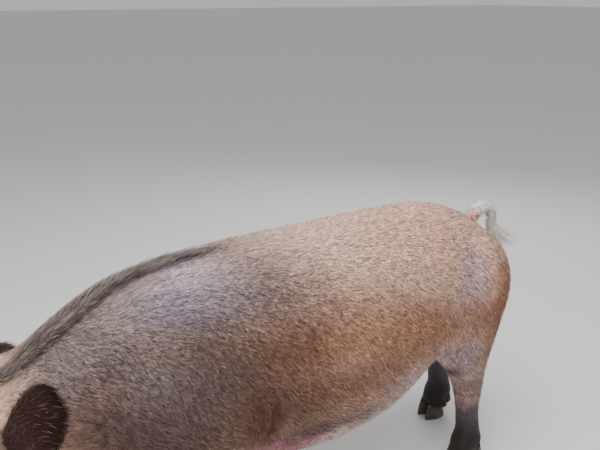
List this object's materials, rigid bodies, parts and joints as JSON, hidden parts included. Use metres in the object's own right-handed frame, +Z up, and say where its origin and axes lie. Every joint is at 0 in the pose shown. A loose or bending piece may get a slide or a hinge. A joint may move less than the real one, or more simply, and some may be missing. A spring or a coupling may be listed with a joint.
{
  "type": "domestic boar model",
  "caption": "Life-size still model of a domestic boar standing with its head lowered, for a museum or a farm scene.",
  "frame": {"origin": "on the floor, under the middle of the boar's length and width", "axes": "+X towards the tail, +Y to the boar's right, +Z up"},
  "size_m": [1.8238, 0.4864, 0.8446],
  "materials": {
    "hide": "bristly tan skin, muddy below the hocks",
    "coat": "short stiff bristles, paler at the tips",
    "claw": "dull dark horn with dried mud",
    "eye": "wet, dark brown"
  },
  "bodies": {
    "root": {"ear_left": "hide", "ear_right": "hide", "eye_left": "eye", "eye_right": "eye", "fore_claw_left_inner": "claw", "fore_claw_left_outer": "claw", "fore_claw_right_inner": "claw", "fore_claw_right_outer": "claw", "fore_dewclaw_left_inner": "claw", "fore_dewclaw_left_outer": "claw", "fore_dewclaw_right_inner": "claw", "fore_dewclaw_right_outer": "claw", "fore_leg_left": "hide", "fore_leg_right": "hide", "head": "hide", "hind_claw_left_inner": "claw", "hind_claw_left_outer": "claw", "hind_claw_right_inner": "claw", "hind_claw_right_outer": "claw", "hind_dewclaw_left_inner": "claw", "hind_dewclaw_left_outer": "claw", "hind_dewclaw_right_inner": "claw", "hind_dewclaw_right_outer": "claw", "hind_leg_left": "hide", "hind_leg_right": "hide", "neck": "hide", "tail": "hide", "torso": "hide"}
  },
  "joints": []
}
